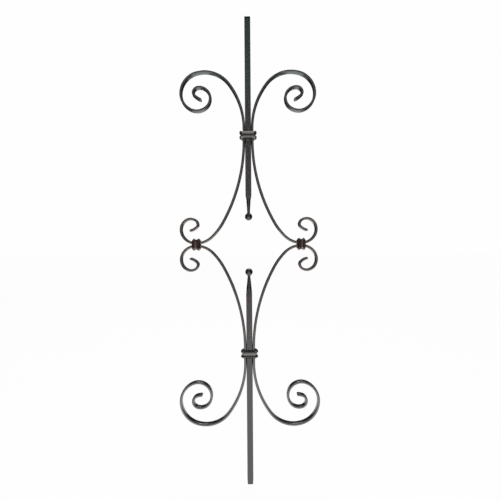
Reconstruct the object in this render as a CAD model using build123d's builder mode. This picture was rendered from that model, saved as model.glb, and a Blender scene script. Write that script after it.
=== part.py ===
# Wrought scroll baluster for a stair railing, with collars and drawn ball ends.
# Millimetres. +Z is up, the front looks towards -Y, and the scrolls spread along X.
# The origin is the centre of the lower bar's cut end, which stands on the tread.

import os
from math import cos, radians, sin, sqrt

from build123d import *

# Stock
total_height = 1000.0
bar_width = 12.7
bar_corner = 0.8
flat_width = 12.7
flat_thickness = 5.0

# The two pickets stand in line and stop short of the middle, each in a ball.
mid_height = 513.0
ball_radius = 8.0
ball_from_middle = 59.5
neck_width = 6.0
neck_fillet = 2.5
# The bar is drawn down to the neck as an octagon. Each taper has a shoulder, given by its
# distance from the ball's centre and its width across flats, and comes to full bar beyond.
upper_shoulder = (37.0, 9.3)
upper_full_bar = 46.0
lower_shoulder = (36.0, 11.2)
lower_full_bar = 47.0
foot_taper_height = 11.0
foot_taper_inset = 0.7

# Bends of the flat bar, each a centreline radius and the angle it turns through.
# The bow runs from the centre collar to the side collar, turning 90 degrees in all.
bow_bends = ((367.0, 29.0), (141.0, 15.5), (50.5, 45.5))
curl_radii = (33.0, 27.0, 22.5, 18.0, 12.5, 7.0)
curl_step = 52.5
curl_tip = (29.0, 30.0)
upper_seat_length = 25.0
upper_flare = (155.5, 38.0)
upper_coil_radii = (64.0, 46.5, 38.5, 30.0, 25.5, 23.5, 13.5, 8.5)
upper_coil_step = 68.4
upper_tip = (44.0, 20.0)
lower_seat_length = 29.0
lower_flare = (178.0, 37.0)
lower_coil_radii = (62.0, 50.0, 40.5, 29.0, 28.0, 22.5, 13.5, 12.0)
lower_coil_step = 71.6
lower_tip = (28.5, 20.0)

# Moulded collars: one band section, wrapped round both kinds of bundle. Two ridges stand
# on either side of a cove, and slope down on their outer sides to thin lips. The curves of
# the cove and of the bent corners are stepped, to keep the faces few.
collar_height = 17.8
collar_ridge_spacing = 10.2
collar_ridge_crest = 1.0
collar_ridge_thickness = 6.7
collar_cove_thickness = 4.2
collar_lip_thickness = 2.2
collar_clearance = 0.03

# Tack welds in the front seams between picket and flats, just below each centre collar.
# A bead is modelled with eight sides; its root is how deep it runs into the seam.
tack_length = 10.0
tack_radius = 1.6
tack_sides = 8
tack_end_bevel = 0.8
tack_root = 0.6
tack_below_collar = 1.0


def bend_run(bends):
    """How far a chain of tangent bends carries a bar along and across its first direction."""
    heading = 0.0
    along = 0.0
    across = 0.0
    for radius, angle in bends:
        turned = heading + radians(angle)
        along += radius * (sin(turned) - sin(heading))
        across += radius * (cos(heading) - cos(turned))
        heading = turned
    return along, across


# Places worked out from the sizes above
half_bar = bar_width / 2
half_flat = flat_thickness / 2
seat_x = half_bar + half_flat
bow_drop, bow_reach = bend_run(bow_bends)
seat_start = half_flat + bow_drop
touch_x = seat_x + bow_reach
centre_collar_from_middle = seat_start + collar_height / 2
bundle_width = bar_width + 2 * flat_thickness
bundle_depth = max(bar_width, flat_width)
seam_front = min(bar_width, flat_width) / 2

# The two flats touch back to back at touch_x and part to both sides of it. The side collar
# sits where its two mouths bear on them alike: the bends there hold it in place.
curl_bearing_radius = curl_radii[0] - half_flat
bow_bearing_radius = bow_bends[-1][0] - half_flat
bearing_sum = sqrt(curl_bearing_radius) + sqrt(bow_bearing_radius)
curl_mouth = collar_height * sqrt(curl_bearing_radius) / bearing_sum
bow_mouth = collar_height - curl_mouth
side_collar_x = touch_x + (curl_mouth - bow_mouth) / 2


def bearing_height(radius, reach):
    """Height over the middle of a flat's far face, at a distance from where the flats touch."""
    return flat_thickness + radius - sqrt(radius**2 - reach**2)


side_bundle_height = 2 * max(
    bearing_height(curl_bearing_radius, curl_mouth),
    bearing_height(bow_bearing_radius, bow_mouth),
)


def bend_on(start, heading, bends, side):
    """Add one arc for each bend, each leaving the last in its own direction."""
    for radius, angle in bends:
        arc = JernArc(start=start, tangent=heading, radius=radius, arc_size=side * angle)
        start = arc @ 1
        heading = arc % 1


def coil(flare, coil_radii, step, tip):
    """The bends of a big coil: an open flare, even steps that tighten, and a flatter tip."""
    return (flare,) + tuple((radius, step) for radius in coil_radii) + (tip,)


def forge_scroll(rise, seat_length, coil_bends):
    """One flat bar bent to a right-hand scroll, above the middle for rise 1, below for -1."""
    curl_bends = tuple((radius, curl_step) for radius in curl_radii) + (curl_tip,)
    seat_inner = (seat_x, mid_height + rise * seat_start)
    seat_outer = (seat_x, mid_height + rise * (seat_start + seat_length))
    with BuildPart() as scroll:
        with BuildSketch(Plane.XZ):
            # The centreline, widened to the bar with half-round tips
            with BuildLine():
                seat = Line(seat_inner, seat_outer)
                bend_on(seat @ 1, seat % 1, coil_bends, -rise)
                bend_on(seat @ 0, (seat % 0) * -1, bow_bends + curl_bends, rise)
                offset(amount=half_flat, side=Side.BOTH)
            make_face()
        extrude(amount=flat_width / 2, both=True)
    return scroll


def forge_picket(rise, shoulder, full_bar, end_sections):
    """A square bar drawn down to an octagonal neck that ends in a ball, all one piece."""
    ball_height = mid_height + rise * ball_from_middle
    half_facet = radians(22.5)
    neck_radius = neck_width / 2 / cos(half_facet)
    neck_from_ball = sqrt((ball_radius + neck_fillet) ** 2 - (neck_radius + neck_fillet) ** 2)
    octagon_corner = 1 - sqrt(0.5)
    sections = [
        (ball_height + rise * distance, width, width * octagon_corner)
        for distance, width in ((neck_from_ball, neck_width), shoulder)
    ]
    sections.append((ball_height + rise * full_bar, bar_width, bar_corner))
    sections += [(height, width, bar_corner) for height, width in end_sections]
    with BuildPart() as picket:
        for height, width, corner in sections:
            with BuildSketch(Plane.XY.offset(height)) as section:
                Rectangle(width, width)
                chamfer(section.vertices(), length=corner)
        loft(ruled=True)
        # The ball, with the fillet that flows into the neck
        ball_plane = Plane(origin=(0, 0, ball_height), x_dir=(1, 0, 0), z_dir=(0, -rise, 0))
        touch = ball_radius / (ball_radius + neck_fillet)
        joint = ((neck_radius + neck_fillet) * touch, neck_from_ball * touch)
        belly_angle = radians(30)
        belly = (ball_radius * cos(belly_angle), -ball_radius * sin(belly_angle))
        hollow = (neck_radius + neck_fillet, neck_from_ball)
        with BuildSketch(ball_plane) as half_ball:
            with BuildLine():
                ThreePointArc((0, -ball_radius), belly, joint)
                RadiusArc(joint, (neck_radius, neck_from_ball), -neck_fillet)
                Line((neck_radius, neck_from_ball), (0, neck_from_ball))
                Line((0, neck_from_ball), (0, -ball_radius))
            make_face()
        revolve(axis=Axis((0, 0, ball_height), (0, 0, 1)))
    return picket


def mould_collar(mouth, width, depth):
    """The moulded band closed round a bundle; mouth is the plane across the bundle."""
    half_width = width / 2 + collar_clearance
    half_depth = depth / 2 + collar_clearance
    to_corner = (half_width + half_depth) * sqrt(0.5)
    inner_crest = (collar_ridge_spacing - collar_ridge_crest) / 2
    outer_crest = (collar_ridge_spacing + collar_ridge_crest) / 2
    half_height = collar_height / 2
    past_all = half_width + half_depth + 2 * collar_ridge_thickness
    with BuildPart() as collar:
        # The same moulding is seen from the sides and, where the band is bent, from the corners
        for turn, across in ((0, half_width), (90, half_depth), (45, to_corner), (135, to_corner)):
            lip = across + collar_lip_thickness
            ridge = across + collar_ridge_thickness
            cove = across + collar_cove_thickness
            outwards = mouth.x_dir * cos(radians(turn)) + mouth.y_dir * sin(radians(turn))
            standing = Plane(origin=mouth.origin, x_dir=outwards, z_dir=outwards.cross(mouth.z_dir))
            with BuildSketch(standing):
                with BuildLine():
                    cove_arc = ThreePointArc((ridge, -inner_crest), (cove, 0), (ridge, inner_crest))
                    Polyline(cove_arc @ 0, (ridge, -outer_crest), (lip, -half_height), (0, -half_height))
                    Polyline(cove_arc @ 1, (ridge, outer_crest), (lip, half_height), (0, half_height))
                    mirror(about=Plane.YZ)
                make_face()
            extrude(amount=past_all, both=True, mode=Mode.INTERSECT if turn else Mode.ADD)
        with BuildSketch(mouth):
            Rectangle(2 * half_width, 2 * half_depth)
        extrude(amount=half_height, both=True, mode=Mode.SUBTRACT)
    return collar


def lay_tack(side, height, picket, scroll):
    """A short weld bead in the front seam, left standing where bar and flat leave room."""
    with BuildPart() as tack:
        with BuildSketch(Plane.XY.offset(height - tack_length / 2)):
            with Locations((side * half_bar, -seam_front)):
                RegularPolygon(
                    tack_radius, tack_sides, major_radius=False, rotation=180 / tack_sides
                )
        extrude(amount=tack_length)
        bead_ends = tack.faces().filter_by(Axis.Z)
        chamfer(bead_ends.edges(), length=tack_end_bevel)
        split(bisect_by=Plane.XZ.offset(seam_front - tack_root), keep=Keep.TOP)
        add(picket.part, mode=Mode.SUBTRACT)
        add(scroll.part, mode=Mode.SUBTRACT)
    return tack


upper_picket = forge_picket(1, upper_shoulder, upper_full_bar, [(total_height, bar_width)])
foot_width = bar_width - 2 * foot_taper_inset
lower_picket = forge_picket(
    -1, lower_shoulder, lower_full_bar, [(foot_taper_height, bar_width), (0.0, foot_width)]
)

upper_right_scroll = forge_scroll(
    1, upper_seat_length, coil(upper_flare, upper_coil_radii, upper_coil_step, upper_tip)
)
lower_right_scroll = forge_scroll(
    -1, lower_seat_length, coil(lower_flare, lower_coil_radii, lower_coil_step, lower_tip)
)
with BuildPart() as upper_left_scroll:
    add(mirror(upper_right_scroll.part, about=Plane.YZ, mode=Mode.PRIVATE))
with BuildPart() as lower_left_scroll:
    add(mirror(lower_right_scroll.part, about=Plane.YZ, mode=Mode.PRIVATE))

# The centre collars bind both scrolls to a picket; the side collars bind scroll to scroll.
upper_collar_height = mid_height + centre_collar_from_middle
lower_collar_height = mid_height - centre_collar_from_middle
upper_collar = mould_collar(Plane.XY.offset(upper_collar_height), bundle_width, bundle_depth)
lower_collar = mould_collar(Plane.XY.offset(lower_collar_height), bundle_width, bundle_depth)
right_mouth = Plane(origin=(side_collar_x, 0, mid_height), x_dir=(0, 1, 0), z_dir=(1, 0, 0))
left_mouth = Plane(origin=(-side_collar_x, 0, mid_height), x_dir=(0, 1, 0), z_dir=(1, 0, 0))
right_side_collar = mould_collar(right_mouth, flat_width, side_bundle_height)
left_side_collar = mould_collar(left_mouth, flat_width, side_bundle_height)

tack_drop = collar_height / 2 + tack_below_collar + tack_length / 2
upper_tack_height = upper_collar_height - tack_drop
lower_tack_height = lower_collar_height - tack_drop
upper_left_tack = lay_tack(-1, upper_tack_height, upper_picket, upper_left_scroll)
upper_right_tack = lay_tack(1, upper_tack_height, upper_picket, upper_right_scroll)
lower_left_tack = lay_tack(-1, lower_tack_height, lower_picket, lower_left_scroll)
lower_right_tack = lay_tack(1, lower_tack_height, lower_picket, lower_right_scroll)

pieces = {
    "upper_picket": upper_picket,
    "lower_picket": lower_picket,
    "upper_left_scroll": upper_left_scroll,
    "upper_right_scroll": upper_right_scroll,
    "lower_left_scroll": lower_left_scroll,
    "lower_right_scroll": lower_right_scroll,
    "upper_collar": upper_collar,
    "lower_collar": lower_collar,
    "left_side_collar": left_side_collar,
    "right_side_collar": right_side_collar,
    "upper_left_tack": upper_left_tack,
    "upper_right_tack": upper_right_tack,
    "lower_left_tack": lower_left_tack,
    "lower_right_tack": lower_right_tack,
}

os.makedirs("parts", exist_ok=True)
for piece_name, piece in pieces.items():
    piece.part.label = piece_name
    export_step(piece.part, f"parts/{piece_name}.step")
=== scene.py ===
# %% [markdown]
# # A wrought scroll baluster, forged, painted and lit
# The object is a stair baluster of black painted iron. Two square bars stand in line, four
# flat bars are bent to C-scrolls, and four moulded collars hold them together.
# A CAD part gives every size and place. This lesson models each piece once more with the
# small unevenness of hammer work, paints it, and sets it in a pale studio.

from math import asin, ceil, cos, pi, radians, sin, sqrt

import bmesh
import bpy
from mathutils import Matrix, Vector, noise


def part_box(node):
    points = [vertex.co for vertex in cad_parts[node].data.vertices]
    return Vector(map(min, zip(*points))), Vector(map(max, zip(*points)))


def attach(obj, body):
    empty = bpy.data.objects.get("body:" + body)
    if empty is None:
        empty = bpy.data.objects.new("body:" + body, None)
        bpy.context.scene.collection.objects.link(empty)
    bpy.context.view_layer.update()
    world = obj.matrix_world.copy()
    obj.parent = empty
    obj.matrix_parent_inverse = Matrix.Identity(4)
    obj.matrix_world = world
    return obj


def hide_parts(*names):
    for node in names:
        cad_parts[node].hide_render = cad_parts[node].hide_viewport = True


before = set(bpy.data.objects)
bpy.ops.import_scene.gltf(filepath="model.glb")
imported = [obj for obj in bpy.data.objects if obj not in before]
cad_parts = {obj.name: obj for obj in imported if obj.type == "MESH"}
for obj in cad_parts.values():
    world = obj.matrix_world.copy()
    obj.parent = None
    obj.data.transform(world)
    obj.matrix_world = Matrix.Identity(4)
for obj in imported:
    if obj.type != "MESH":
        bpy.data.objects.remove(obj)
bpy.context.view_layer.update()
print("CAD nodes:", sorted(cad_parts))

# %% [markdown]
# ## Sizes
# A smith works from stock sizes and from the bends laid out full size on the floor.
# Blender measures in metres, so each size is written in millimetres and times MM.
# The bends are pairs of a radius and an angle, and every bend of a scroll turns the same
# way. That is why it is enough to know where the bar starts and how far each bend goes.
# The photograph shows the flats half a millimetre thicker than the CAD part has them, so
# here they are thicker too. Their bows reach that much less far out, and the widest bend
# of the lower coils is a little tighter, so that the part stays inside the CAD part's box.

# %% Stock and places
MM = 0.001
MERGE_DISTANCE = 0.002 * MM
MID_HEIGHT = 513 * MM
TOP_HEIGHT = 1000 * MM
BAR_WIDTH = 12.7 * MM
BAR_CORNER = 0.8 * MM
FLAT_WIDTH = 12.7 * MM
CAD_FLAT_THICKNESS = 5.0 * MM
FLAT_THICKNESS = 5.5 * MM
FLAT_CORNER = 2.2 * MM
SEAT_X = (BAR_WIDTH + FLAT_THICKNESS) / 2

BOW_BENDS = ((362.9, 29.0), (141.0, 15.5), (50.5, 45.5))
CURL_RADII = (33.0, 27.0, 22.5, 18.0, 12.5, 7.0)
CURL_BENDS = tuple((radius, 52.5) for radius in CURL_RADII) + ((29.0, 30.0),)
UPPER_RADII = (64.0, 46.5, 38.5, 30.0, 25.5, 23.5, 13.5, 8.5)
UPPER_COIL = ((155.5, 38.0),) + tuple((radius, 68.4) for radius in UPPER_RADII) + ((44.0, 20.0),)
LOWER_RADII = (61.4, 50.0, 40.5, 29.0, 28.0, 22.5, 13.5, 12.0)
LOWER_COIL = ((178.0, 37.0),) + tuple((radius, 71.6) for radius in LOWER_RADII) + ((28.5, 20.0),)
UPPER_SEAT = 26.7 * MM
LOWER_SEAT = 30.7 * MM


def bend_run(bends):
    """How far a chain of bends carries the bar along and across its first direction."""
    heading = along = across = 0.0
    for radius, angle in bends:
        turned = heading + radians(angle)
        along += radius * MM * (sin(turned) - sin(heading))
        across += radius * MM * (cos(heading) - cos(turned))
        heading = turned
    return along, across


bow_drop, bow_reach = bend_run(BOW_BENDS)
seat_start = FLAT_THICKNESS / 2 + bow_drop
touch_x = SEAT_X + bow_reach
print(f"A scroll's seat starts {seat_start:.4f} m from the middle of the baluster")
print(f"A scroll's bow reaches x = {touch_x:.4f} m")

# %% [markdown]
# ## Ironwork paint
# Black ironwork paint has fine iron mica in it, so it gleams like dark metal: black where
# it mirrors something dark, light where it mirrors the floor. Close to, it is not one
# colour either. It is a little green near the top and brown round the middle, where it has
# worn thin, and it follows the dents of the hammer. Noise in Object coordinates gives all
# this without any picture, and a high Metallic value lets the gloss draw the shape.

# %% Where the paint changes
COOL_BLACK = (0.140, 0.186, 0.177)
COOL_FROM = 760 * MM
COOL_FULL = 970 * MM
BROWN_FULL = 60 * MM
BROWN_FAINT = 240 * MM
FAINT_SHARE = 0.15
CLOUDS_PER_METRE = 12.0
RUBS_PER_METRE = 140.0
DENTS_PER_METRE = 70.0
GRAINS_PER_METRE = 500.0
DENT_HEIGHT = 0.5 * MM
GRAIN_HEIGHT = 0.03 * MM
GRAIN_STRENGTH = 0.04
METAL_SHARE = 0.95
print(f"The paint turns cool from {COOL_FROM:.2f} m up, and brown near {MID_HEIGHT:.3f} m")

# %% [markdown]
# A material is a chain of nodes. Four short helpers each add one kind of node, so that the
# recipe for the paint reads like the list of what a painter would see.


# %% Paint helpers
def map_range(nodes, links, value, source, target):
    """Stretch a value from a source range onto a target range, and return the new value."""
    stretch = nodes.new("ShaderNodeMapRange")
    stretch.inputs["From Min"].default_value = source[0]
    stretch.inputs["From Max"].default_value = source[1]
    stretch.inputs["To Min"].default_value = target[0]
    stretch.inputs["To Max"].default_value = target[1]
    links.new(value, stretch.inputs["Value"])
    return stretch.outputs["Result"]


def noise_value(nodes, links, place, scale, detail):
    """Noise that is fixed to the piece, at a scale in lumps to the metre."""
    lumps = nodes.new("ShaderNodeTexNoise")
    lumps.inputs["Scale"].default_value = scale
    lumps.inputs["Detail"].default_value = detail
    links.new(place.outputs["Object"], lumps.inputs["Vector"])
    return lumps.outputs["Fac"]


def mix_colours(nodes, links, factor, first, second):
    """Blend two colours by a factor; each is a fixed colour or the output of a node."""
    mix = nodes.new("ShaderNodeMix")
    mix.data_type = "RGBA"
    links.new(factor, mix.inputs["Factor"])
    for socket, colour in (("A", first), ("B", second)):
        if isinstance(colour, tuple):
            mix.inputs[socket].default_value = (*colour, 1.0)
        else:
            links.new(colour, mix.inputs[socket])
    return mix.outputs["Result"]


def bump(nodes, links, height, strength, distance, under=None):
    """Raise the surface a little by a height, on top of another bump if there is one."""
    raised = nodes.new("ShaderNodeBump")
    raised.inputs["Strength"].default_value = strength
    raised.inputs["Distance"].default_value = distance
    links.new(height, raised.inputs["Height"])
    if under:
        links.new(under, raised.inputs["Normal"])
    return raised.outputs["Normal"]


# %% [markdown]
# The recipe could also be one image for each piece, painted by hand. Nodes are chosen,
# because one recipe then serves every piece, and no seam shows where a piece is unrolled.


# %% The paint's recipe
def ironwork_paint(name, black, brown, brown_share, roughness, dents):
    """Paint over forged iron: tinted by height, brown clouds, uneven gloss, hammer dents."""
    paint = bpy.data.materials.new(name)
    paint.use_nodes = True
    nodes = paint.node_tree.nodes
    links = paint.node_tree.links
    shader = nodes["Principled BSDF"]
    place = nodes.new("ShaderNodeTexCoord")
    height = nodes.new("ShaderNodeSeparateXYZ")
    links.new(place.outputs["Object"], height.inputs["Vector"])

    near_top = map_range(nodes, links, height.outputs["Z"], (COOL_FROM, COOL_FULL), (0.0, 1.0))
    black_by_height = mix_colours(nodes, links, near_top, black, COOL_BLACK)
    from_middle = nodes.new("ShaderNodeMath")
    from_middle.operation = "SUBTRACT"
    from_middle.inputs[1].default_value = MID_HEIGHT
    links.new(height.outputs["Z"], from_middle.inputs[0])
    distance = nodes.new("ShaderNodeMath")
    distance.operation = "ABSOLUTE"
    links.new(from_middle.outputs["Value"], distance.inputs[0])
    off_middle = distance.outputs["Value"]
    band = (BROWN_FULL, BROWN_FAINT)
    near_middle = map_range(nodes, links, off_middle, band, (1.0, FAINT_SHARE))
    clouds = noise_value(nodes, links, place, CLOUDS_PER_METRE, detail=6.0)
    cloudy = map_range(nodes, links, clouds, (0.40, 0.66), (FAINT_SHARE, brown_share))
    brownness = nodes.new("ShaderNodeMath")
    brownness.operation = "MULTIPLY"
    links.new(cloudy, brownness.inputs[0])
    links.new(near_middle, brownness.inputs[1])
    colour = mix_colours(nodes, links, brownness.outputs["Value"], black_by_height, brown)
    links.new(colour, shader.inputs["Base Color"])

    rubbed = noise_value(nodes, links, place, RUBS_PER_METRE, detail=4.0)
    gloss = map_range(nodes, links, rubbed, (0.3, 0.7), (roughness - 0.02, roughness + 0.04))
    links.new(gloss, shader.inputs["Roughness"])
    shader.inputs["Metallic"].default_value = METAL_SHARE

    hammered = noise_value(nodes, links, place, DENTS_PER_METRE, detail=1.0)
    dented = bump(nodes, links, hammered, dents, DENT_HEIGHT)
    grain = noise_value(nodes, links, place, GRAINS_PER_METRE, detail=2.0)
    grained = bump(nodes, links, grain, GRAIN_STRENGTH, GRAIN_HEIGHT, dented)
    links.new(grained, shader.inputs["Normal"])
    return paint


# %% [markdown]
# Each kind of piece has its own paint, because each was worked in another way. The side
# collars are browner, and the weld beads are near black, the darkest of all.

# %% The paints
IRON_BLACK = (0.117, 0.118, 0.120)
SCROLL_BLACK = (0.200, 0.200, 0.198)
COLLAR_BLACK = (0.235, 0.230, 0.226)
SIDE_COLLAR_BLACK = (0.170, 0.145, 0.125)
RUSTY_BROWN = (0.290, 0.195, 0.160)
# The weld beads' paint is near black, darker than that of any other piece.
BEAD_BLACK = (0.030, 0.030, 0.030)
BEAD_BROWN = (0.050, 0.040, 0.035)
picket_paint = ironwork_paint(
    "picket_paint", IRON_BLACK, RUSTY_BROWN, brown_share=0.20, roughness=0.26, dents=0.03
)
scroll_paint = ironwork_paint(
    "scroll_paint", SCROLL_BLACK, RUSTY_BROWN, brown_share=0.50, roughness=0.21, dents=0.04
)
collar_paint = ironwork_paint(
    "collar_paint", COLLAR_BLACK, RUSTY_BROWN, brown_share=0.25, roughness=0.15, dents=0.03
)
side_collar_paint = ironwork_paint(
    "side_collar_paint", SIDE_COLLAR_BLACK, RUSTY_BROWN,
    brown_share=0.80, roughness=0.18, dents=0.05,
)
tack_paint = ironwork_paint(
    "tack_paint", BEAD_BLACK, BEAD_BROWN, brown_share=0.30, roughness=0.40, dents=0.40
)
print("Paints:", [material.name for material in bpy.data.materials])

# %% [markdown]
# ## Finishing a piece
# Every piece ends in the same way. Its doubled vertices are merged, its faces are turned
# outwards, and it takes the place of the CAD node that it was modelled from. The Weighted
# Normal modifier lets the broad faces set the shading, so that rounded corners stay crisp.


# %% Finish helper
FACE_AREA_WEIGHT = 50


def finish_piece(work, node, paint):
    """Turn a bmesh into an object that stands for its CAD node and rides with the part."""
    bmesh.ops.remove_doubles(work, verts=work.verts[:], dist=MERGE_DISTANCE)
    bmesh.ops.recalc_face_normals(work, faces=work.faces[:])
    for face in work.faces:
        face.smooth = True
    mesh = bpy.data.meshes.new("forged_" + node)
    work.to_mesh(mesh)
    work.free()
    piece = bpy.data.objects.new("forged_" + node, mesh)
    bpy.context.scene.collection.objects.link(piece)
    mesh.materials.append(paint)
    weighted = piece.modifiers.new("broad faces first", "WEIGHTED_NORMAL")
    weighted.weight = FACE_AREA_WEIGHT
    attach(piece, "root")
    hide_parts(node)
    print(piece.name, "has", len(mesh.polygons), "faces")
    return piece


# %% [markdown]
# Hammer work leaves soft dents, deeper here and shallower there. Each vertex is pressed in
# along its normal by a smooth noise, which keeps the surface whole. A noise texture on a
# Displace modifier would dent a piece too, but would also push it out in places, into its
# neighbour. These dents only go inwards.


# %% Hammer helper
def hammer(work, depth, size, seed):
    """Press the surface in by up to depth, in soft dents about size across, never outwards."""
    work.normal_update()
    moves = []
    for vertex in work.verts:
        wave = noise.noise(vertex.co / size + Vector((seed, 0.0, 0.0)))
        share = min(max(0.5 + wave, 0.0), 1.0)
        moves.append((vertex, vertex.normal * (-depth * share)))
    for vertex, move in moves:
        vertex.co += move


# %% [markdown]
# ## The scrolls
# Each scroll is one flat bar, bent hot round a scroll form: a straight seat lies along the
# square bar, a bow runs from it to the side collar and winds up in a small curl, and a wide
# flare winds up in the big coil. A curve with a bevel would do, but the Spin operator is
# nearer to the work: it carries the bar's section round the centre of each bend in turn.

# %% Scroll section
STEP_LENGTH = 2.5 * MM
STEP_ANGLE = radians(5)
WIDTH_CUTS = 5
THICKNESS_CUTS = 2


def bar_section(thickness, width, corner, width_cuts, thickness_cuts):
    """A closed ring of edges across a bar, flat at height 0, with its corners rounded."""
    work = bmesh.new()
    bmesh.ops.create_grid(work, x_segments=1, y_segments=1, size=0.5)
    bmesh.ops.scale(work, vec=(thickness, width, 1.0), verts=work.verts[:])
    bmesh.ops.bevel(
        work, geom=work.verts[:], offset=corner, offset_type="OFFSET", segments=3,
        profile=0.5, affect="VERTICES", material=-1,
    )
    bmesh.ops.delete(work, geom=work.faces[:], context="FACES_ONLY")
    for cuts, length in ((width_cuts, width), (thickness_cuts, thickness)):
        straight = length - 2 * corner
        sides = [edge for edge in work.edges if abs(edge.calc_length() - straight) < 0.1 * MM]
        bmesh.ops.subdivide_edges(work, edges=sides, cuts=cuts)
    return work


test_section = bar_section(FLAT_THICKNESS, FLAT_WIDTH, FLAT_CORNER, WIDTH_CUTS, THICKNESS_CUTS)
print("The flat bar's section has", len(test_section.verts), "vertices")
test_section.free()

# %% [markdown]
# Follow the bends: the centre of each bend lies square to the bar's heading, and the spin
# leaves the last ring of edges ready for the next bend. More steps go to tight bends.


# %% Bend helper
BEND_AXIS = Vector((0.0, -1.0, 0.0))


def edges_of(items):
    """Only the edges of a mixed list."""
    return [item for item in items if isinstance(item, bmesh.types.BMEdge)]


def follow_bends(work, ring, place, heading, bends, side):
    """Carry a ring of edges round each bend, and return the last ring, place and heading."""
    for radius, angle in bends:
        turn = Matrix.Rotation(side * radians(angle), 3, BEND_AXIS)
        to_centre = Matrix.Rotation(side * pi / 2, 3, BEND_AXIS) @ heading
        centre = place + to_centre * (radius * MM)
        steps_by_length = ceil(radius * MM * radians(angle) / STEP_LENGTH)
        steps = max(steps_by_length, ceil(radians(angle) / STEP_ANGLE))
        spun = bmesh.ops.spin(
            work, geom=ring, cent=centre, axis=BEND_AXIS, dvec=(0.0, 0.0, 0.0),
            angle=side * radians(angle), steps=steps, use_merge=False, use_duplicate=False,
        )
        ring = edges_of(spun["geom_last"])
        place = centre + turn @ (place - centre)
        heading = turn @ heading
    return ring, place, heading


# %% [markdown]
# The bar's ends are ground half round before they are curled. An edge bevel would spoil
# the even rings, so the last ring is extruded a few times and made thinner each time.


# %% End helper
def round_off(work, ring, place, heading):
    """Close a bar's end with a half-round nose."""
    nose_steps = 6
    across = Vector((0.0, 1.0, 0.0)).cross(heading)
    for step in range(1, nose_steps + 1):
        before = pi / 2 * (step - 1) / nose_steps
        after = pi / 2 * step / nose_steps
        grown = bmesh.ops.extrude_edge_only(work, edges=ring)
        ring = edges_of(grown["geom"])
        points = [item for item in grown["geom"] if isinstance(item, bmesh.types.BMVert)]
        forward = heading * (FLAT_THICKNESS / 2 * (sin(after) - sin(before)))
        thinner = cos(after) / cos(before)
        for point in points:
            point.co -= across * ((point.co - place).dot(across) * (1.0 - thinner))
            point.co += forward


# %% [markdown]
# One function forges all four scrolls. The lower ones are the upper ones upside down with
# their own bends, and the left ones are mirrored before the hammer marks are put in, so
# that no two scrolls carry the same dents, as on the real baluster.


# %% Forge the scrolls
def forge_scroll(node, rise, hand, seat_length, coil_bends, seed):
    """One flat bar bent to a C-scroll: rise 1 for above the middle, hand 1 for the right."""
    work = bar_section(FLAT_THICKNESS, FLAT_WIDTH, FLAT_CORNER, WIDTH_CUTS, THICKNESS_CUTS)
    start = Vector((SEAT_X, 0.0, MID_HEIGHT + rise * seat_start))
    upwards = Vector((0.0, 0.0, float(rise)))
    bmesh.ops.translate(work, vec=start, verts=work.verts[:])
    first_ring = work.edges[:]
    seat_steps = ceil(seat_length / STEP_LENGTH)
    seat = bmesh.ops.spin(
        work, geom=first_ring, cent=start, axis=BEND_AXIS,
        dvec=upwards * (seat_length / seat_steps),
        angle=0.0, steps=seat_steps, use_merge=False, use_duplicate=False,
    )
    seat_end = start + upwards * seat_length
    coil_end = follow_bends(work, edges_of(seat["geom_last"]), seat_end, upwards, coil_bends, -rise)
    round_off(work, *coil_end)
    curl_end = follow_bends(work, first_ring, start, -upwards, BOW_BENDS + CURL_BENDS, rise)
    round_off(work, *curl_end)
    bmesh.ops.scale(work, vec=(float(hand), 1.0, 1.0), verts=work.verts[:])
    bmesh.ops.remove_doubles(work, verts=work.verts[:], dist=MERGE_DISTANCE)
    bmesh.ops.recalc_face_normals(work, faces=work.faces[:])
    hammer(work, depth=0.02 * MM, size=9.0 * MM, seed=seed)
    return finish_piece(work, node, scroll_paint)


forge_scroll("upper_right_scroll", 1, 1, UPPER_SEAT, UPPER_COIL, seed=3.1)
forge_scroll("upper_left_scroll", 1, -1, UPPER_SEAT, UPPER_COIL, seed=11.7)
forge_scroll("lower_right_scroll", -1, 1, LOWER_SEAT, LOWER_COIL, seed=23.9)
forge_scroll("lower_left_scroll", -1, -1, LOWER_SEAT, LOWER_COIL, seed=37.3)

# %% [markdown]
# ## The pickets
# Each picket is a square bar drawn down under the hammer: its corners are beaten in until
# the neck is eight-sided, and the end is upset and dressed to a ball. It is one piece, so
# it is one mesh here. A ring of points is extruded from height to height, and each new
# ring is set to its own shape: a circle in the ball, an octagon in the neck, a square with
# eased corners in the bar.

# %% Picket sizes
BALL_RADIUS = 8.0 * MM
BALL_FROM_MIDDLE = 59.5 * MM
NECK_HALF = 3.0 * MM
NECK_FILLET = 2.5 * MM
NECK_START = 1.6 * MM
FOOT_LENGTH = 11 * MM
FOOT_DRAWN_IN = 0.7 * MM
RING_GAP = 4.0 * MM
OCTAGON_CORNER = 2 - sqrt(2)
SIDE_PARTS = 4
CORNER_PARTS = 3
RING_POINTS = 4 * (SIDE_PARTS + CORNER_PARTS)


def ring_point(index, half, corner, arc, circle):
    """A point of a ring: its half width, its corner, how round the corner and the whole are."""
    quarter, part = divmod(index, SIDE_PARTS + CORNER_PARTS)
    inner = half - corner
    if part < SIDE_PARTS:
        share = part / SIDE_PARTS
        flat = Vector((half, inner * (2 * share - 1)))
        angle = radians(45) * (share - 0.5)
    else:
        share = (part - SIDE_PARTS) / CORNER_PARTS
        cut = Vector((half - corner * share, inner + corner * share))
        bent = Vector((inner + corner * cos(share * pi / 2), inner + corner * sin(share * pi / 2)))
        flat = cut.lerp(bent, arc)
        angle = radians(45) * (share + 0.5)
    round_point = Vector((half * cos(angle), half * sin(angle)))
    point = flat.lerp(round_point, circle)
    point.rotate(Matrix.Rotation(quarter * pi / 2, 2))
    return point


# %% [markdown]
# The rings are listed from the ball outwards by their distance from its centre. The ball
# and the fillet behind it follow two circles that touch, and from the neck on straight
# runs join the octagon, the shoulder and the full bar. Extra rings on the way give the
# hammer something to dent.


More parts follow.
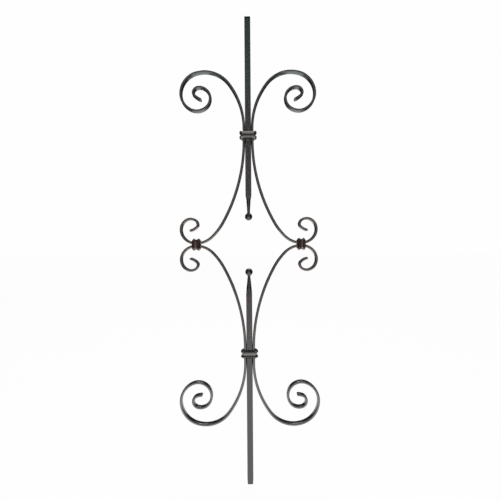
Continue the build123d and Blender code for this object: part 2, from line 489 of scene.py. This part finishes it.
# %% Rings of a picket
def picket_rings(shoulder_distance, shoulder_half, full_distance, end_rings):
    """Rings of one picket as distance from the ball's centre, half, corner, arc and circle."""
    neck_radius = NECK_HALF / cos(radians(22.5))
    both = BALL_RADIUS + NECK_FILLET
    neck_distance = sqrt(both**2 - (neck_radius + NECK_FILLET) ** 2)
    touch_angle = asin((neck_radius + NECK_FILLET) / both)
    rings = []
    ball_steps = 22
    for step in range(ball_steps + 1):
        angle = pi - (pi - touch_angle) * step / ball_steps
        rings.append((BALL_RADIUS * cos(angle), BALL_RADIUS * sin(angle), 0.0, 0.0, 1.0))
    fillet_steps = 5
    for step in range(1, fillet_steps + 1):
        angle = touch_angle + (pi / 2 - touch_angle) * step / fillet_steps
        distance = neck_distance - NECK_FILLET * cos(angle)
        radius = neck_radius + NECK_FILLET * (1 - sin(angle))
        rings.append((distance, radius, 0.0, 0.0, 1.0))
    key_rings = [
        (neck_distance + NECK_START, NECK_HALF, NECK_HALF * OCTAGON_CORNER, 0.0, 0.0),
        (shoulder_distance, shoulder_half, shoulder_half * OCTAGON_CORNER, 0.0, 0.0),
        (full_distance, BAR_WIDTH / 2, BAR_CORNER, 1.0, 0.0),
    ]
    for key in key_rings + end_rings:
        last = rings[-1]
        steps = 1 if last[4] > 0 else ceil((key[0] - last[0]) / RING_GAP)
        for step in range(1, steps + 1):
            share = step / steps
            rings.append(tuple(a + (b - a) * share for a, b in zip(last, key)))
    return rings


half_bar = BAR_WIDTH / 2
upper_length = TOP_HEIGHT - MID_HEIGHT - BALL_FROM_MIDDLE
lower_length = MID_HEIGHT - BALL_FROM_MIDDLE
upper_end = (upper_length, half_bar, BAR_CORNER, 1.0, 0.0)
foot_end = (lower_length, half_bar - FOOT_DRAWN_IN, BAR_CORNER, 1.0, 0.0)
foot_start = (lower_length - FOOT_LENGTH, half_bar, BAR_CORNER, 1.0, 0.0)
upper_rings = picket_rings(
    shoulder_distance=37 * MM, shoulder_half=4.65 * MM, full_distance=46 * MM, end_rings=[upper_end]
)
lower_rings = picket_rings(
    shoulder_distance=36 * MM, shoulder_half=5.6 * MM, full_distance=47 * MM,
    end_rings=[foot_start, foot_end],
)
print("The upper picket has", len(upper_rings), "rings, the lower one", len(lower_rings))

# %% [markdown]
# A lathe-like spin would make the ball but not the square bar, and two joined meshes would
# show a seam at the neck. One extruded ring makes both, so the forging stays one skin. A
# layer of numbers keeps the order of the points, whatever order the operator returns.


# %% Forge the pickets
def forge_picket(node, rise, rings, seed):
    """Extrude a ring of points through all the rings, from the ball's pole to the bar's end."""
    work = bmesh.new()
    order = work.verts.layers.int.new("order")
    bmesh.ops.create_circle(work, cap_ends=False, radius=1.0, segments=RING_POINTS)
    for vertex in work.verts:
        turn = (vertex.co.to_2d().angle_signed(Vector((1.0, 0.0))) / (2 * pi)) % 1.0
        vertex[order] = round(turn * RING_POINTS) % RING_POINTS
    edges = work.edges[:]
    points = work.verts[:]
    ball_height = MID_HEIGHT + rise * BALL_FROM_MIDDLE
    for number, (distance, half, corner, arc, circle) in enumerate(rings):
        if number:
            grown = bmesh.ops.extrude_edge_only(work, edges=edges)
            edges = edges_of(grown["geom"])
            points = [item for item in grown["geom"] if isinstance(item, bmesh.types.BMVert)]
        for vertex in points:
            across = ring_point(vertex[order], half, corner, arc, circle)
            vertex.co = (across.x, across.y, ball_height + rise * distance)
    bmesh.ops.contextual_create(work, geom=edges)
    bmesh.ops.remove_doubles(work, verts=work.verts[:], dist=MERGE_DISTANCE)
    bmesh.ops.recalc_face_normals(work, faces=work.faces[:])
    hammer(work, depth=0.015 * MM, size=11.0 * MM, seed=seed)
    return finish_piece(work, node, picket_paint)


forge_picket("upper_picket", 1, upper_rings, seed=5.3)
forge_picket("lower_picket", -1, lower_rings, seed=17.9)

# %% [markdown]
# ## The collars
# A collar is a moulded band, bent hot round the bundle of bars and closed on it. The band
# has two rounded ridges with a cove between, and slopes away to a thin lip on each side.
# Its section is drawn by pushing one vertex along, the cove is spun, and the closed line
# is then carried round the bundle: straight along the sides, spun round the corners. The
# ridges are bevelled last, when they are long edges.

# %% Collar sizes
HALF_COLLAR = 17.8 / 2 * MM
HALF_RIDGES = 10.2 / 2 * MM
RIDGE = 7.1 * MM
COVE = 4.2 * MM
LIP = 2.2 * MM
INNER_CORNER = 0.8 * MM
RIDGE_ROUND = 1.0 * MM
COLLAR_CLEARANCE = 0.03 * MM
CAD_RIDGE = 6.7 * MM
COVE_STEPS = 14
CORNER_STEPS = 9


def push_on(work, vertex, x, z):
    """Draw a line from a vertex to a point of the section, and return its new end."""
    grown = bmesh.ops.extrude_vert_indiv(work, verts=[vertex])
    grown["verts"][0].co = (x, 0.0, z)
    return grown["verts"][0]


def band_section(work, inside):
    """The band's closed section in the XZ plane, with its inner side at x = inside."""
    ridge_mark = work.verts.layers.int.new("ridge")
    start = bmesh.ops.create_vert(work, co=(inside, 0.0, -HALF_COLLAR))["vert"][0]
    lip = push_on(work, start, inside + LIP, -HALF_COLLAR)
    ridge = push_on(work, lip, inside + RIDGE, -HALF_RIDGES)
    depth = RIDGE - COVE
    cove_radius = (HALF_RIDGES**2 + depth**2) / (2 * depth)
    half_angle = asin(HALF_RIDGES / cove_radius)
    spun = bmesh.ops.spin(
        work, geom=[ridge], cent=(inside + COVE + cove_radius, 0.0, 0.0), axis=(0.0, 1.0, 0.0),
        dvec=(0.0, 0.0, 0.0), angle=2 * half_angle, steps=COVE_STEPS,
        use_merge=False, use_duplicate=False,
    )
    far_ridge = [item for item in spun["geom_last"] if isinstance(item, bmesh.types.BMVert)][0]
    for vertex in work.verts:
        vertex[ridge_mark] = int(vertex in (ridge, far_ridge))
    lip = push_on(work, far_ridge, inside + LIP, HALF_COLLAR)
    top = push_on(work, lip, inside, HALF_COLLAR)
    bmesh.ops.contextual_create(work, geom=[top, start])
    return ridge_mark


# %% [markdown]
# A real band is heated, wrapped and hammered shut, so its corners are tight inside and
# wide outside. Spinning the section round each inner corner gives just that. The side
# collars are the same band laid on its side, round the two flats that touch there.


# %% Close the collars
def mould_collar(node, width, depth, place, paint, seed, on_its_side):
    """Carry the band's section once round a bundle of the given width and depth."""
    work = bmesh.new()
    half_width = width / 2 + COLLAR_CLEARANCE
    half_depth = depth / 2 + COLLAR_CLEARANCE
    ridge_mark = band_section(work, half_width)
    line = work.edges[:]
    reach = (half_depth - INNER_CORNER, half_width - INNER_CORNER)
    bends = [Vector((x, y, 0.0)) for x, y in ((1, 1), (-1, 1), (-1, -1), (1, -1))]
    heading = Vector((0.0, 1.0, 0.0))
    straights = [reach[0], 2 * reach[1], 2 * reach[0], 2 * reach[1], reach[0]]
    for number, straight in enumerate(straights):
        steps = max(ceil(straight / STEP_LENGTH), 1)
        spun = bmesh.ops.spin(
            work, geom=line, cent=(0.0, 0.0, 0.0), axis=(0.0, 0.0, 1.0),
            dvec=heading * (straight / steps),
            angle=0.0, steps=steps, use_merge=False, use_duplicate=False,
        )
        line = edges_of(spun["geom_last"])
        if number < len(bends):
            corner = bends[number]
            centre = Vector((corner.x * reach[1], corner.y * reach[0], 0.0))
            spun = bmesh.ops.spin(
                work, geom=line, cent=centre, axis=(0.0, 0.0, 1.0), dvec=(0.0, 0.0, 0.0),
                angle=pi / 2, steps=CORNER_STEPS, use_merge=False, use_duplicate=False,
            )
            line = edges_of(spun["geom_last"])
            heading = Matrix.Rotation(pi / 2, 3, "Z") @ heading
    bmesh.ops.remove_doubles(work, verts=work.verts[:], dist=MERGE_DISTANCE)
    bmesh.ops.recalc_face_normals(work, faces=work.faces[:])
    ridges = [edge for edge in work.edges if all(vertex[ridge_mark] for vertex in edge.verts)]
    bmesh.ops.bevel(
        work, geom=ridges, offset=RIDGE_ROUND, offset_type="OFFSET", segments=5,
        profile=0.5, affect="EDGES", material=-1,
    )
    if on_its_side:
        onto_side = Matrix(((0.0, 0.0, 1.0), (1.0, 0.0, 0.0), (0.0, 1.0, 0.0)))
        bmesh.ops.transform(work, matrix=onto_side.to_4x4(), verts=work.verts[:])
    bmesh.ops.translate(work, vec=place, verts=work.verts[:])
    hammer(work, depth=0.04 * MM, size=5.0 * MM, seed=seed)
    return finish_piece(work, node, paint)


def centre_of(node):
    """The middle of a CAD node's box."""
    low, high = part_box(node)
    return (low + high) / 2


bundle_width = BAR_WIDTH + 2 * FLAT_THICKNESS
side_low, side_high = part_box("right_side_collar")
side_band = CAD_RIDGE + COLLAR_CLEARANCE - (FLAT_THICKNESS - CAD_FLAT_THICKNESS)
side_bundle_height = side_high.z - side_low.z - 2 * side_band
for node, seed in (("upper_collar", 2.2), ("lower_collar", 8.4)):
    place = centre_of(node)
    mould_collar(node, bundle_width, BAR_WIDTH, place, collar_paint, seed, False)
for node, seed in (("left_side_collar", 14.6), ("right_side_collar", 21.1)):
    place = centre_of(node)
    mould_collar(
        node, FLAT_WIDTH, side_bundle_height, place, side_collar_paint,
        seed, True,
    )

# %% [markdown]
# ## The weld beads
# Short tack welds hold the flats to the square bar in the front seams under the two centre
# collars. A bead is a row of small ripples, one for each pulse of the arc, so a stretched
# sphere is pinched at even steps along its length.

# %% Lay the beads
BEAD_HALF_LENGTH = 4.9 * MM
BEAD_HALF_WIDTH = 1.5 * MM
RIPPLE = 1.7 * MM
PINCH_DEPTH = 0.14
BLUNTNESS = 8


def lay_bead(node, seed):
    """One rippled bead in the seam where its CAD node is."""
    low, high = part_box(node)
    seam_x = BAR_WIDTH / 2 if high.x > 0 else -BAR_WIDTH / 2
    seam = Vector((seam_x, -BAR_WIDTH / 2, (low.z + high.z) / 2))
    work = bmesh.new()
    bmesh.ops.create_uvsphere(work, u_segments=20, v_segments=36, radius=1.0)
    for vertex in work.verts:
        fuller = abs(vertex.co.z) ** 0.5
        sphere_width = max(sqrt(1.0 - vertex.co.z**2), 0.001)
        width = sqrt(max(1.0 - fuller**BLUNTNESS, 0.0)) / sphere_width
        wave = cos(2 * pi * vertex.co.z * BEAD_HALF_LENGTH / RIPPLE)
        pinch = 1.0 - PINCH_DEPTH * (0.5 + 0.5 * wave)
        vertex.co.x *= BEAD_HALF_WIDTH * width * pinch
        vertex.co.y *= BEAD_HALF_WIDTH * width * pinch
        vertex.co.z *= BEAD_HALF_LENGTH
    bmesh.ops.translate(work, vec=seam, verts=work.verts[:])
    hammer(work, depth=0.25 * MM, size=1.6 * MM, seed=seed)
    return finish_piece(work, node, tack_paint)


for node, seed in (
    ("upper_left_tack", 1.1),
    ("upper_right_tack", 4.7),
    ("lower_left_tack", 9.2),
    ("lower_right_tack", 13.8),
):
    lay_bead(node, seed)

# %% [markdown]
# ## The studio
# A catalogue photograph of black iron is taken on white. The floor is pale and wide, and
# the world is white where a camera or a gloss looks straight at it. Other rays see a calmer
# grey, which fills the shadows without washing the paint out.

# %% White for the camera
def seen_directly(nodes, links):
    """1 for camera, gloss and transmission rays, which show the white background."""
    rays = nodes.new("ShaderNodeLightPath")
    two = nodes.new("ShaderNodeMath")
    two.operation = "MAXIMUM"
    links.new(rays.outputs["Is Camera Ray"], two.inputs[0])
    links.new(rays.outputs["Is Glossy Ray"], two.inputs[1])
    three = nodes.new("ShaderNodeMath")
    three.operation = "MAXIMUM"
    links.new(two.outputs["Value"], three.inputs[0])
    links.new(rays.outputs["Is Transmission Ray"], three.inputs[1])
    return three.outputs["Value"]


# %% [markdown]
# The floor is a plain matt paint, mixed with white light that only those direct rays see.
# It keeps a little of its paint for them too, so the baluster's shadow stays on it. A
# curved backdrop would also do, but then the horizon would need the same care.

# %% The floor
FLOOR_GREY = (0.86, 0.86, 0.86, 1.0)
FLOOR_WHITE_SHARE = 0.96
bpy.ops.mesh.primitive_plane_add(size=60.0, location=(0.0, 0.0, 0.0))
floor = bpy.context.object
floor.name = "studio_floor"
floor_paint = bpy.data.materials.new("studio_floor_paint")
floor_paint.use_nodes = True
floor_nodes = floor_paint.node_tree.nodes
floor_links = floor_paint.node_tree.links
floor_nodes["Principled BSDF"].inputs["Base Color"].default_value = FLOOR_GREY
floor_nodes["Principled BSDF"].inputs["Roughness"].default_value = 0.9
floor_white = floor_nodes.new("ShaderNodeEmission")
floor_share = floor_nodes.new("ShaderNodeMath")
floor_share.operation = "MULTIPLY"
floor_share.inputs[1].default_value = FLOOR_WHITE_SHARE
floor_links.new(seen_directly(floor_nodes, floor_links), floor_share.inputs[0])
floor_mix = floor_nodes.new("ShaderNodeMixShader")
floor_links.new(floor_share.outputs["Value"], floor_mix.inputs[0])
floor_links.new(floor_nodes["Principled BSDF"].outputs["BSDF"], floor_mix.inputs[1])
floor_links.new(floor_white.outputs["Emission"], floor_mix.inputs[2])
floor_links.new(floor_mix.outputs["Shader"], floor_nodes["Material Output"].inputs["Surface"])
floor.data.materials.append(floor_paint)
print("The floor shows", FLOOR_WHITE_SHARE, "of its white to the camera")

# %% [markdown]
# The air behind the baluster is the world. Its colour is mixed in the same way: white for
# the camera and the gloss, a calm grey for the light that falls on the pieces.

# %% The air
CALM_AIR = (0.55, 0.55, 0.55, 1.0)
WHITE_AIR = (0.99, 0.99, 0.99, 1.0)
world = bpy.data.worlds.new("studio_air")
bpy.context.scene.world = world
world.use_nodes = True
air = world.node_tree.nodes
air_links = world.node_tree.links
air_colour = air.new("ShaderNodeMix")
air_colour.data_type = "RGBA"
air_colour.inputs["A"].default_value = CALM_AIR
air_colour.inputs["B"].default_value = WHITE_AIR
air_links.new(seen_directly(air, air_links), air_colour.inputs["Factor"])
air_links.new(air_colour.outputs["Result"], air["Background"].inputs["Color"])
print("World:", world.name)

# %% [markdown]
# Glossy black shows what is round it. Grey cards, out of the picture, keep the fronts and
# the edges of the bars dark against the white, and the bright floor near the baluster
# lights their undersides. This is how a photographer gives shape to black iron. Only gloss
# rays meet the cards here, so they throw no shadow.


# %% Dark cards
BLACK_FELT = 0.03
CEILING_GREY = 0.05
CAMERA_SIDE_GREY = 0.50
FAR_FLOOR_GREY = 0.40


def dark_card(name, place, target, width, height, grey):
    """A card that only gloss rays meet, turned to face a point."""
    work = bmesh.new()
    bmesh.ops.create_grid(work, x_segments=1, y_segments=1, size=0.5)
    bmesh.ops.scale(work, vec=(width, height, 1.0), verts=work.verts[:])
    turn = (Vector(target) - Vector(place)).to_track_quat("Z", "Y").to_matrix().to_4x4()
    bmesh.ops.transform(work, matrix=Matrix.Translation(place) @ turn, verts=work.verts[:])
    mesh = bpy.data.meshes.new(name)
    work.to_mesh(mesh)
    work.free()
    card = bpy.data.objects.new(name, mesh)
    bpy.context.scene.collection.objects.link(card)
    felt = bpy.data.materials.new(name + "_felt")
    felt.use_nodes = True
    felt_shader = felt.node_tree.nodes["Principled BSDF"]
    felt_shader.inputs["Base Color"].default_value = (grey, grey, grey, 1.0)
    felt_shader.inputs["Roughness"].default_value = 1.0
    mesh.materials.append(felt)
    card.visible_camera = False
    card.visible_diffuse = False
    card.visible_shadow = False
    return card


for name, place, target, width, height, grey in (
    ("camera_side_card", (0.0, -3.0, 2.3), (0.0, 0.0, 2.3), 6.0, 4.6, CAMERA_SIDE_GREY),
    ("back_card", (0.0, 3.0, 2.0), (0.0, 0.0, 2.0), 6.0, 3.6, BLACK_FELT),
    ("left_card", (-2.5, 0.0, 2.3), (0.0, 0.0, 2.3), 6.0, 4.6, BLACK_FELT),
    ("right_card", (2.5, 0.0, 2.3), (0.0, 0.0, 2.3), 6.0, 4.6, BLACK_FELT),
    ("ceiling_card", (0.0, -1.4, 2.9), (0.0, -1.4, 0.0), 5.0, 3.2, CEILING_GREY),
    ("far_floor_card", (0.0, -2.2, 0.01), (0.0, -2.2, 1.0), 6.0, 1.8, FAR_FLOOR_GREY),
    ("left_floor_card", (-1.5, 0.3, 0.01), (-1.5, 0.3, 1.0), 1.8, 4.6, BLACK_FELT),
    ("right_floor_card", (1.5, 0.3, 0.01), (1.5, 0.3, 1.0), 1.8, 4.6, BLACK_FELT),
):
    card = dark_card(name, place, target, width, height, grey)
    print(card.name, "is", width, "m by", height, "m")

# %% [markdown]
# One soft box hangs overhead and a little behind, and draws the light on what faces up.
# Another stands at the front. It lights the pieces and the grey cards, and the gloss
# doesn't show it, so that the fronts of the bars stay dark.


# %% Lamps
def soft_box(name, place, target, size, power):
    """A square area lamp that looks at a point."""
    lamp = bpy.data.lights.new(name, "AREA")
    lamp.size = size
    lamp.energy = power
    box = bpy.data.objects.new(name, lamp)
    bpy.context.scene.collection.objects.link(box)
    box.location = place
    box.rotation_mode = "QUATERNION"
    box.rotation_quaternion = (Vector(target) - Vector(place)).to_track_quat("-Z", "Y")
    return box


soft_box("overhead_box", (0.0, 0.95, 2.5), (0.0, 0.0, 0.5), size=1.2, power=20.0)
front_box = soft_box("front_box", (0.0, -2.2, 0.6), (0.0, 0.0, 0.45), size=1.6, power=30.0)
front_box.visible_glossy = False
print("Lamps:", [lamp.name for lamp in bpy.data.lights])

# %% [markdown]
# ## The camera
# The photograph was taken square on from the front, from close by, at the height of the
# baluster's middle, and is turned by a small part of a degree. A long lens from far off
# would hide the inner faces of the coils, so the lens is short and the camera is near.

# %% Camera
LENS = 24.73
CAMERA_PLACE = (0.0025, -0.740, 0.5008)
CAMERA_ROLL = radians(0.40)
camera_data = bpy.data.cameras.new("camera")
camera_data.lens = LENS
camera_data.sensor_width = 36.0
camera = bpy.data.objects.new("camera", camera_data)
bpy.context.scene.collection.objects.link(camera)
camera.location = CAMERA_PLACE
camera.rotation_euler = (radians(90), CAMERA_ROLL, 0.0)
bpy.context.scene.camera = camera
bpy.context.scene.view_settings.view_transform = "Standard"
print("The camera stands", -CAMERA_PLACE[1], "m in front of the baluster")
